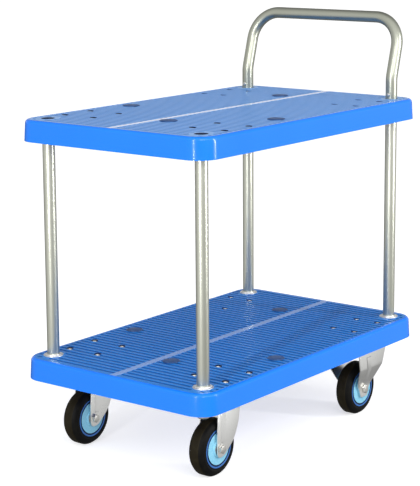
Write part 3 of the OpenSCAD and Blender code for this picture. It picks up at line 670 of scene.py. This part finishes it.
for side, s in sides.items():
    low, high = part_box("handle_spigot_" + side)
    spigot = tube((high.x - low.x) / 2, (high.x - low.x) / 2 - 2 * mm, low.z, high.z, 0.6 * mm, 64)
    place = at(postX, s * postY, 0)
    button = at(postX, s * postY, upperTop + handle["buttonHeight"]) @ Matrix.Rotation(-math.pi / 2, 4, "Y")
    hole = moved(rod(handle["buttonRadius"] + 0.2 * mm, 0, tubeRadius + 3 * mm, 0, 32), button)
    piece("handleSpigot" + side.title(), combined(moved(spigot, place), hole, "DIFFERENCE"),
          "zinc", "cart", "hardware_zinc", "handle_spigot_" + side)
    low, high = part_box("snap_clip_" + side)
    leaf, back, foot = 0.8 * mm, 7 * mm, -30 * mm
    spring = cut([(-back, 5 * mm, 0), (-back, -8 * mm, 1 * mm), (-2 * mm, foot + 3 * mm, 1.5 * mm), (back - leaf, foot + 8 * mm, 1 * mm),
                  (back - leaf, -2 * mm, 0), (back, -2 * mm, 0), (back, foot + 7 * mm, 1 * mm), (-2 * mm, foot + 1.8 * mm, 1.5 * mm),
                  (-back - leaf, -8.4 * mm, 1 * mm), (-back - leaf, 5 * mm, 0)], 8 * mm)
    reach = postX - low.x
    r = handle["buttonRadius"]
    knob = turned([(0, back, 0), (r, back, 0), (r, reach, 1.6 * mm), (0, reach, 0)], closed=False, steps=48)
    piece("snapClip" + side.title(), joined(moved(spring, at(postX, s * postY - 4 * mm, upperTop + handle["buttonHeight"])),
          moved(knob, button)), "zinc", "cart", "hardware_zinc", "snap_clip_" + side)
print("handle done")


# castors

castor = {"boltRadius": 4 * mm, "headRadius": 7 * mm, "headHeight": 4.5 * mm, "plate": 3.5 * mm, "plateEdge": 10 * mm,
          "nutWidth": 13 * mm, "nutHeight": 6.4 * mm, "legWall": 2.5 * mm, "legIn": 21 * mm, "legSpread": 22 * mm, "crownRadius": 38 * mm,
          "crown": 3 * mm, "raceIn": 21 * mm, "raceOut": 35 * mm, "ballRadius": 3.5 * mm, "balls": 16,
          "fluteWidth": 16 * mm, "fluteHeight": 1.6 * mm}
seat = lowerTop - deckHeight + deck["webShort"]

for end in ends:
    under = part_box(end + "_castor_bolts")[0].z
    headFoot = lowerTop - deck["wellDepth"]
    bolt = turned([(0, under, 0), (castor["boltRadius"], under, 0.6 * mm), (castor["boltRadius"], headFoot, 0),
                   (castor["headRadius"], headFoot, 0.3 * mm), (castor["headRadius"], headFoot + castor["headHeight"], 3.2 * mm),
                   (2.6 * mm, headFoot + castor["headHeight"], 0.3 * mm), (2.3 * mm, headFoot + castor["headHeight"] - 2 * mm, 0),
                   (0, headFoot + castor["headHeight"] - 2 * mm, 0)], closed=False, steps=40)
    piece(end + "CastorBolts", copies(bolt, [at(x, y, 0) for x, y in castorBolts[end]]),
          "bolt", "cart", "hardware_zinc", end + "_castor_bolts")
    nut = combined(hexagon(castor["nutWidth"], castor["nutHeight"]),
                   rod(castor["boltRadius"] + 0.05 * mm, -1 * mm, castor["nutHeight"] + 1 * mm, 0, 32), "DIFFERENCE")
    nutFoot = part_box(end + "_castor_nuts")[0].z
    piece(end + "CastorNuts", copies(nut, [at(x, y, nutFoot) for x, y in castorBolts[end]]),
          "zinc", "cart", "hardware_zinc", end + "_castor_nuts")


def topPlate(x0, x1, y, bolts):
    # flat plate lying under the seat face, with its bolt holes
    bm = cut([(x0, -y, 9 * mm), (x1, -y, 9 * mm), (x1, y, 9 * mm), (x0, y, 9 * mm)], castor["plate"], 0.5 * mm)
    moved(bm, Matrix.Rotation(math.pi / 2, 4, "X"))
    low = min(v.co.z for v in bm.verts)
    moved(bm, at(0, 0, seat - castor["plate"] - low))
    holes = [moved(rod(castor["boltRadius"] + 0.2 * mm, seat - 8 * mm, seat + 4 * mm, 0, 32), at(bx, by, 0)) for bx, by in bolts]
    return combined(bm, joined(*holes), "DIFFERENCE")


def spread(bm, shape):
    # pushes both legs outwards: shape lists (height, push), straight in between
    for height, _ in shape[:-1]:
        bmesh.ops.bisect_plane(bm, geom=bm.verts[:] + bm.edges[:] + bm.faces[:], plane_no=(0, 0, 1), plane_co=(0, 0, height))
    for v in bm.verts:
        push = shape[-1][1] if v.co.z > shape[0][0] else 0
        for (z0, p0), (z1, p1) in zip(shape, shape[1:]):
            if z0 < v.co.z <= z1:
                push = p0 + (p1 - p0) * (v.co.z - z0) / (z1 - z0)
        v.co.y += math.copysign(push, v.co.y)
    return bm


def legs(outline, flute):
    # both legs, mirrored about the wheel's middle plane; flute is the rib's foot and top as (x, z)
    plateBm = moved(cut(outline, castor["legWall"], 0.6 * mm), at(0, castor["legIn"], 0))
    w, h = castor["fluteWidth"] / 2, castor["fluteHeight"]
    (x0, z0), (x1, z1) = flute
    ridge = cut([(x0 - w, z0, w * 0.7), (x0 + w, z0, w * 0.7), (x1 + w, z1, 0), (x1 - w, z1, 0)], h + 0.5 * mm, 0)
    out = [e for e in ridge.edges if all(v.co.y > h for v in e.verts)]
    bmesh.ops.bevel(ridge, geom=out, offset=h * 1.4, offset_type="OFFSET", affect="EDGES", segments=5,
                    profile=0.5, material=-1, clamp_overlap=True)
    moved(ridge, at(0, castor["legIn"] + castor["legWall"] - 0.5 * mm, 0))
    one = joined(plateBm, ridge)
    other = one.copy()
    return joined(one, moved(other, Matrix.Diagonal((1, -1, 1, 1))))


for side, s in sides.items():
    plateLow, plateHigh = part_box("swivel_plate_" + side)
    forkLow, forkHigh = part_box("swivel_fork_" + side)
    hub = middle("tyre_front_" + side)
    pivot = middle("kingpin_" + side)
    half = (plateHigh.x - plateLow.x) / 2
    ballZ = middle("swivel_balls_" + side).z
    c = castor
    home = at(pivot.x, pivot.y, 0)
    bolts = [(i * 38.5 * mm, j * 38.5 * mm) for i in (-1, 1) for j in (-1, 1)]
    ring = (c["raceIn"] + c["raceOut"]) / 2
    track = c["ballRadius"] * 0.75
    race = turned([(c["raceIn"], plateLow.z, 0.5 * mm), (ring - track, plateLow.z, 0), (ring, plateLow.z + 1.4 * mm, 1.2 * mm),
                   (ring + track, plateLow.z, 0), (c["raceOut"], plateLow.z, 1.2 * mm), (c["raceOut"], seat - c["plate"] + 0.5 * mm, 0),
                   (c["raceIn"], seat - c["plate"] + 0.5 * mm, 0)], steps=72)
    piece("swivelPlate" + side.title(), moved(joined(topPlate(-half, half, half, bolts), race), home),
          "fork", "cart", "fork_zinc", "swivel_plate_" + side)
    ball = bmesh.new()
    bmesh.ops.create_uvsphere(ball, u_segments=16, v_segments=10, radius=c["ballRadius"])
    piece("swivelBalls" + side.title(), copies(ball, [home @ Matrix.Rotation(math.tau * i / c["balls"], 4, "Z") @ at(ring, 0, ballZ)
          for i in range(c["balls"])]), "bearing", "cart", "bearing_steel", "swivel_balls_" + side)
    pinLow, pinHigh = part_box("kingpin_" + side)
    headRadius = (pinHigh.x - pinLow.x) / 2
    piece("kingpin" + side.title(), moved(turned([(0, pinLow.z, 0), (headRadius, pinLow.z, 2.5 * mm), (headRadius, pinLow.z + 6 * mm, 0.4 * mm),
          (6 * mm, pinLow.z + 6 * mm, 0), (6 * mm, pinHigh.z, 0.5 * mm), (0, pinHigh.z, 0)], closed=False), home),
          "zinc", "cart", "fork_zinc", "kingpin_" + side)
    crownTop = seat - 20 * mm
    trail = pivot.x - hub.x
    z0, top = hub.z - 18 * mm, crownTop - 1 * mm
    pair = legs([(x - trail, z, reach) for x, z, reach in [
        (-6.5 * mm, top, 0), (-11.5 * mm, hub.z + 28 * mm, 8 * mm), (-11.5 * mm, z0, 10 * mm), (10 * mm, z0, 8 * mm),
        (44 * mm, hub.z + 10 * mm, 12 * mm), (59.5 * mm, hub.z + 44 * mm, 12 * mm), (64 * mm, top, 0)]],
        ((6.5 * mm - trail, hub.z + 11 * mm), (6.5 * mm - trail, top)))
    crown = turned([(6.1 * mm, crownTop - c["crown"], 0), (c["crownRadius"], crownTop - c["crown"], 1.4 * mm),
                    (c["crownRadius"], crownTop, 1.4 * mm), (c["raceOut"], crownTop, 1.0 * mm), (c["raceOut"], forkHigh.z, 0.6 * mm),
                    (ring + track, forkHigh.z, 0), (ring, forkHigh.z - 1.4 * mm, 1.2 * mm), (ring - track, forkHigh.z, 0),
                    (c["raceIn"], forkHigh.z, 0.5 * mm), (c["raceIn"], crownTop, 1.0 * mm), (6.1 * mm, crownTop, 0)], steps=72)
    piece("swivelFork" + side.title(), moved(joined(pair, crown), home), "fork", "swivel_" + side, "fork_zinc", "swivel_fork_" + side)

for side, s in sides.items():
    hub = middle("tyre_rear_" + side)
    low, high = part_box("fixed_fork_" + side)
    c = castor
    z0, top = hub.z - 18 * mm, seat - 3 * mm
    half = [(13 * mm, z0, 6 * mm), (18 * mm, hub.z - 2 * mm, 4 * mm), (33 * mm, hub.z + 22 * mm, 8 * mm),
            (44 * mm, hub.z + 50 * mm, 10 * mm), (56.5 * mm, top, 0)]
    pair = legs(half + [(-x, z, reach) for x, z, reach in reversed(half)], ((0, hub.z + 11 * mm), (-16 * mm, hub.z + 80 * mm)))
    spread(pair, [(hub.z + 9 * mm, 0), (hub.z + 52 * mm, c["legSpread"] - 3 * mm), (top, c["legSpread"])])
    bolts = [(i * 47.5 * mm, j * 27 * mm) for i in (-1, 1) for j in (-1, 1)]
    piece("fixedFork" + side.title(), moved(joined(pair, topPlate(low.x - hub.x, high.x - hub.x, (high.y - low.y) / 2, bolts)),
          at(hub.x, hub.y, 0)), "fork", "cart", "fork_zinc", "fixed_fork_" + side)
print("castor frames done")


# wheels, drawn round Z and then laid on their axles

wheel = {"hubHalf": 18 * mm, "hexWidth": 16 * mm, "headHeight": 6.4 * mm, "nutHeight": 9 * mm,
         "axleRadius": 5 * mm, "sleeveRadius": 6 * mm, "bearingRadius": 14 * mm, "bearingWidth": 8 * mm}
legOut = castor["legIn"] + castor["legWall"]


def hubParts(rim, half, boss):
    w = wheel
    dish = boss - 2 * mm
    seatIn = boss - w["bearingWidth"]
    b = w["bearingRadius"] + 0.05 * mm
    side = [(w["sleeveRadius"] + 1 * mm, seatIn, 0), (b, seatIn, 0), (b, boss, 0.4 * mm), (b + 3.2 * mm, boss, 0.9 * mm),
            (b + 4.4 * mm, dish, 0.8 * mm), (rim - 6.6 * mm, dish, 0.8 * mm), (rim - 6 * mm, dish - 4 * mm, 0.5 * mm),
            (rim - 3.6 * mm, dish - 4 * mm, 0.5 * mm), (rim - 3 * mm, half, 0.6 * mm), (rim, half, 0.3 * mm)]
    bm = turned(side + [(x, -z, reach) for x, z, reach in reversed(side)], steps=96)
    # faces in the groove between disc and lip (material 1) take the dark navy painted shade
    for face in bm.faces:
        radius = face.calc_center_median().xy.length
        depth = abs(face.calc_center_median().z)
        face.material_index = 0 if radius < rim - 6.4 * mm else (1 if radius < rim - 3.3 * mm else 2)
    return bm


def tyreProfile(outer, bore, half):
    side = [(bore, half - 1.2 * mm, 0.4 * mm), (bore + 1.8 * mm, half - 0.9 * mm, 0.5 * mm), (bore + 2.4 * mm, half - 1.4 * mm, 0.3 * mm),
            (bore + 3.2 * mm, half - 0.5 * mm, 0.4 * mm), (bore + 6 * mm, half, 1.4 * mm), (outer - 4.2 * mm, half - 3.6 * mm, 2.4 * mm),
            (outer - 0.9 * mm, half - 9.2 * mm, 0.6 * mm), (outer, half - 10.2 * mm, 0.5 * mm)]
    return side + [(x, -z, reach) for x, z, reach in reversed(side)]


for end in ends:
    for side, s in sides.items():
        tag = "%s_%s" % (end, side)
        title = end.title() + side.title()
        low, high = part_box("tyre_" + tag)
        centre = (low + high) / 2
        onAxle = at(centre.x, centre.y, centre.z) @ Matrix.Rotation(math.pi / 2, 4, "X")
        carrier = "swivel_" + side if end == "front" else "cart"
        body = "wheel_" + tag
        rim = (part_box("hub_" + tag)[1].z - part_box("hub_" + tag)[0].z) / 2
        boss = (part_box("hub_" + tag)[1].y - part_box("hub_" + tag)[0].y) / 2
        outer = (high.z - low.z) / 2
        half = (high.y - low.y) / 2
        tyre = turned(tyreProfile(outer, rim + 0.05 * mm, half), steps=128)
        for face in tyre.faces:
            face.material_index = int(face.calc_center_median().xy.length > outer - 1.2 * mm)
        piece("tyre" + title, moved(tyre, onAxle),
              ["tyre", "tread"], body, "tyre_rubber", "tyre_" + tag)
        piece("hub" + title, moved(hubParts(rim, wheel["hubHalf"], boss), onAxle), ["hubDisc", "hubGrooveShade", "hubLip"], body, "hub_plastic", "hub_" + tag)
        w = wheel
        b0, b1, mid = w["sleeveRadius"] + 0.05 * mm, w["bearingRadius"], (w["sleeveRadius"] + w["bearingRadius"]) / 2
        z0, z1 = boss - w["bearingWidth"], boss
        bearing = turned([(b0, z0, 0.3 * mm), (b1, z0, 0.4 * mm), (b1, z1, 0.4 * mm), (b1 - 1.8 * mm, z1, 0.2 * mm), (b1 - 2 * mm, z1 - 0.7 * mm, 0.2 * mm),
                          (b0 + 2 * mm, z1 - 0.7 * mm, 0.2 * mm), (b0 + 1.8 * mm, z1, 0.2 * mm), (b0, z1, 0.3 * mm)], steps=64)
        piece("bearings" + title, copies(bearing, [onAxle, onAxle @ flip]), "bearing", body, "bearing_steel", "bearings_" + tag)
        piece("axleSleeve" + title, moved(tube(w["sleeveRadius"], w["axleRadius"] + 0.05 * mm, -castor["legIn"], castor["legIn"], 0.3 * mm), onAxle),
              "zinc", carrier, "hardware_zinc", "axle_sleeve_" + tag)
        tail = -legOut - w["nutHeight"] - 2 * mm
        boltParts = joined(rod(w["axleRadius"], tail, legOut + 1 * mm, 0.7 * mm), moved(hexagon(w["hexWidth"], w["headHeight"], 0.9 * mm), at(0, 0, legOut)))
        piece("axleBolt" + title, moved(boltParts, onAxle), "zinc", carrier, "hardware_zinc", "axle_bolt_" + tag)
        nut = combined(hexagon(w["hexWidth"], w["nutHeight"], 0.9 * mm), rod(w["axleRadius"] + 0.05 * mm, -1 * mm, w["nutHeight"] + 1 * mm, 0), "DIFFERENCE")
        piece("axleNut" + title, moved(nut, onAxle @ at(0, 0, -legOut - w["nutHeight"])), "zinc", carrier, "hardware_zinc", "axle_nut_" + tag)
print("wheels done")


# floor, light and camera

studio = {"floor": (0.70, 0.70, 0.70, 1), "floorGlow": 0.62, "floorSize": 30.0, "sky": 1.0}


def paleFloor():
    bm = bmesh.new()
    bmesh.ops.create_grid(bm, x_segments=1, y_segments=1, size=studio["floorSize"])
    mesh = bpy.data.meshes.new("floor")
    bm.to_mesh(mesh)
    bm.free()
    f = Finish("floorPaint", **{"Roughness": 0.9, "Specular IOR Level": 0.0, "Emission Color": (1, 1, 1, 1),
                                "Emission Strength": studio["floorGlow"]})
    f.paint(Base_Color=f.blend(f.noise(0.6, 2) * 0.2, studio["floor"], (0.92, 0.92, 0.92, 1)))
    mesh.materials.append(f.material)
    floor = bpy.data.objects.new("floor", mesh)
    bpy.context.scene.collection.objects.link(floor)
    floor.visible_glossy = False
    floor.visible_diffuse = False


def areaLight(name, place, target, width, height, power, colour=(1, 1, 1)):
    data = bpy.data.lights.new(name, "AREA")
    data.shape, data.size, data.size_y, data.energy, data.color = "RECTANGLE", width, height, power, colour
    lamp = bpy.data.objects.new(name, data)
    lamp.location = place
    lamp.rotation_euler = (Vector(target) - Vector(place)).to_track_quat("-Z", "Y").to_euler()
    bpy.context.scene.collection.objects.link(lamp)
    return lamp


camera = {"place": (-2.7356, -2.0643, 1.119), "yaw": -52.92, "elevation": 9.99, "roll": -0.265,
          "lens": 121.33, "shiftX": -0.0337, "shiftY": -0.107}


def addCamera():
    c = camera
    data = bpy.data.cameras.new("camera")
    data.lens, data.sensor_width, data.shift_x, data.shift_y = c["lens"], 36.0, c["shiftX"], c["shiftY"]
    data.clip_end = 100
    obj = bpy.data.objects.new("camera", data)
    a, e = math.radians(c["yaw"]), math.radians(c["elevation"])
    back = Vector((math.sin(a) * math.cos(e), -math.cos(a) * math.cos(e), math.sin(e)))
    turn = (-back).to_track_quat("-Z", "Y").to_matrix().to_4x4()
    obj.matrix_world = at(*c["place"]) @ turn @ Matrix.Rotation(math.radians(c["roll"]), 4, "Z")
    bpy.context.scene.collection.objects.link(obj)
    bpy.context.scene.camera = obj


def studioWorld():
    # white backdrop in the picture; softly graded panels all round for light and reflections
    world = bpy.data.worlds.new("studio")
    sky = Graph(world)
    bpy.context.scene.world = world
    direction = sky.node("ShaderNodeTexCoord", output="Generated")
    height = sky.node("ShaderNodeSeparateXYZ", {}, {"Vector": direction}, output="Z")
    a = math.radians(camera["yaw"])
    ahead, across = (math.sin(a), -math.cos(a), 0), (math.cos(a), math.sin(a), 0)
    toward, right = [sky.node("ShaderNodeVectorMath", {"operation": "DOT_PRODUCT"}, {0: direction, 1: way}, output="Value")
                     for way in (ahead, across)]
    turn = right.math("ARCTAN2", right, toward) / math.tau + 0.5  # 0.5 is toward the camera, 0 and 1 behind the cart
    low = sky.ramp(turn, [(0.0, 0.08), (0.10, 0.10), (0.20, 0.50), (0.37, 1.00), (0.50, 0.80), (0.63, 0.50),
                          (0.72, 0.45), (0.80, 0.68), (0.88, 0.42), (0.94, 0.10), (1.0, 0.08)])
    band = sky.ramp(turn, [(0.0, 1.0), (0.15, 0.80), (0.35, 0.80), (0.50, 0.48), (0.65, 0.80), (0.85, 0.80), (1.0, 1.0)])
    high = sky.ramp(turn, [(0.0, 0.20), (0.18, 0.45), (0.35, 1.0), (0.65, 1.0), (0.82, 0.45), (1.0, 0.20)])
    light = sky.blend(height.smooth(-0.03, 0.03), low, band)
    light = sky.blend(height.smooth(0.13, 0.27), light, high)
    light = sky.blend(height.smooth(-0.30, -0.60), light, (0.25, 0.25, 0.25, 1))
    seen = sky.node("ShaderNodeLightPath", output="Is Camera Ray")
    light = sky.blend(seen, light, (1, 1, 1, 1))
    back = sky.tree.nodes["Background"]
    sky.plug(back.inputs["Color"], light)
    back.inputs["Strength"].default_value = studio["sky"]


paleFloor()
studioWorld()
areaLight("keyPanel", (-2.4, -2.9, 2.6), (0, 0, 0.5), 1.6, 1.2, 34)
areaLight("sidePanel", (-0.6, -2.6, 1.7), (0, -0.2, 0.1), 1.0, 1.0, 4)
areaLight("frontStrip", (-2.94, -0.66, 1.10), (-0.39, -0.2, 0.60), 0.06, 2.2, 38)
areaLight("sideStrip", (0.99, -2.46, 1.10), (-0.35, -0.24, 0.60), 0.06, 2.2, 38)
addCamera()
bpy.context.scene.view_settings.view_transform = "Standard"
